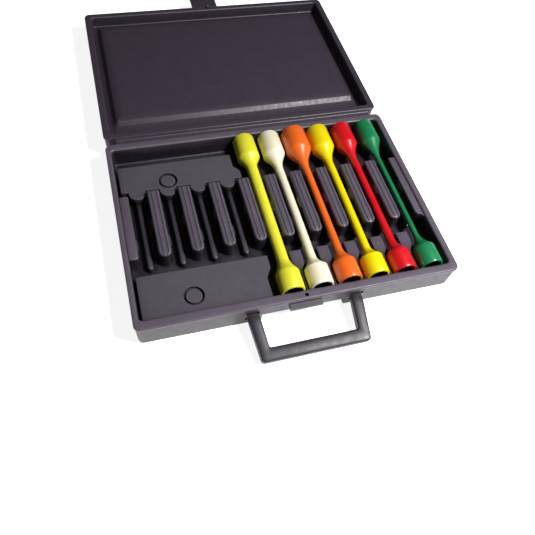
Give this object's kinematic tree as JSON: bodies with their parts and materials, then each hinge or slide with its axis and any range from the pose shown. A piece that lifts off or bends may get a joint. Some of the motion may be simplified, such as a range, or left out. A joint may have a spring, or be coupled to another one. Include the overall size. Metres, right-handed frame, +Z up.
{
  "type": "torque stick case",
  "caption": "Hinged plastic carrying case, lying open, with colour-coded impact torque extension sticks in a ribbed tray and a U-shaped carrying handle.",
  "frame": {"origin": "on the flat underside of the base, below the middle of the rack of ribs", "axes": "+X to the right along the hinge line, +Y from the handle towards the hinge, +Z up out of the tray"},
  "size_m": [0.337, 0.5697, 0.0408],
  "materials": {
    "case_plastic": "blow-moulded polyethylene, fine matt grain",
    "filler_plastic": "moulded polyethylene, satin",
    "pin_steel": "plain steel",
    "stick_lemon_coat": "pale yellow powder coat on steel",
    "stick_cream_coat": "cream powder coat on steel",
    "stick_orange_coat": "orange powder coat on steel",
    "stick_yellow_coat": "strong yellow powder coat on steel",
    "stick_red_coat": "red powder coat on steel",
    "stick_green_coat": "green powder coat on steel"
  },
  "bodies": {
    "base": {"base_shell": "case_plastic", "base_tray": "case_plastic", "living_hinge": "case_plastic", "front_filler_block": "filler_plastic", "rear_filler_block": "filler_plastic", "front_filler_plug": "filler_plastic", "rear_filler_plug": "filler_plastic", "handle_pivot_pins": "pin_steel"},
    "lid": {"lid_shell": "case_plastic", "lid_liner": "case_plastic", "lid_locating_peg": "case_plastic", "latch_pin": "pin_steel"},
    "latch": {"lid_latch": "case_plastic"},
    "handle": {"carry_handle": "case_plastic"},
    "stick_lemon_body": {"stick_lemon": "stick_lemon_coat"},
    "stick_cream_body": {"stick_cream": "stick_cream_coat"},
    "stick_orange_body": {"stick_orange": "stick_orange_coat"},
    "stick_yellow_body": {"stick_yellow": "stick_yellow_coat"},
    "stick_red_body": {"stick_red": "stick_red_coat"},
    "stick_green_body": {"stick_green": "stick_green_coat"}
  },
  "joints": [
    {"name": "lid_hinge", "type": "hinge", "parent": "base", "child": "lid", "pos_m": [0, 0.1215, 0.0332], "axis": [-1, 0, 0], "range_deg": [-180, 0]},
    {"name": "latch_swing", "type": "hinge", "parent": "lid", "child": "latch", "pos_m": [0, 0.3688, 0.0214], "axis": [-1, 0, 0], "range_deg": [-90, 35]},
    {"name": "handle_swing", "type": "hinge", "parent": "base", "child": "handle", "pos_m": [0, -0.118, 0.016], "axis": [-1, 0, 0], "range_deg": [0, 32]},
    {"name": "stick_lemon_lift", "type": "slide", "parent": "base", "child": "stick_lemon_body", "axis": [0, 0, 1], "range_m": [0, 0.06]},
    {"name": "stick_cream_lift", "type": "slide", "parent": "base", "child": "stick_cream_body", "axis": [0, 0, 1], "range_m": [0, 0.06]},
    {"name": "stick_orange_lift", "type": "slide", "parent": "base", "child": "stick_orange_body", "axis": [0, 0, 1], "range_m": [0, 0.06]},
    {"name": "stick_yellow_lift", "type": "slide", "parent": "base", "child": "stick_yellow_body", "axis": [0, 0, 1], "range_m": [0, 0.06]},
    {"name": "stick_red_lift", "type": "slide", "parent": "base", "child": "stick_red_body", "axis": [0, 0, 1], "range_m": [0, 0.06]},
    {"name": "stick_green_lift", "type": "slide", "parent": "base", "child": "stick_green_body", "axis": [0, 0, 1], "range_m": [0, 0.06]}
  ]
}
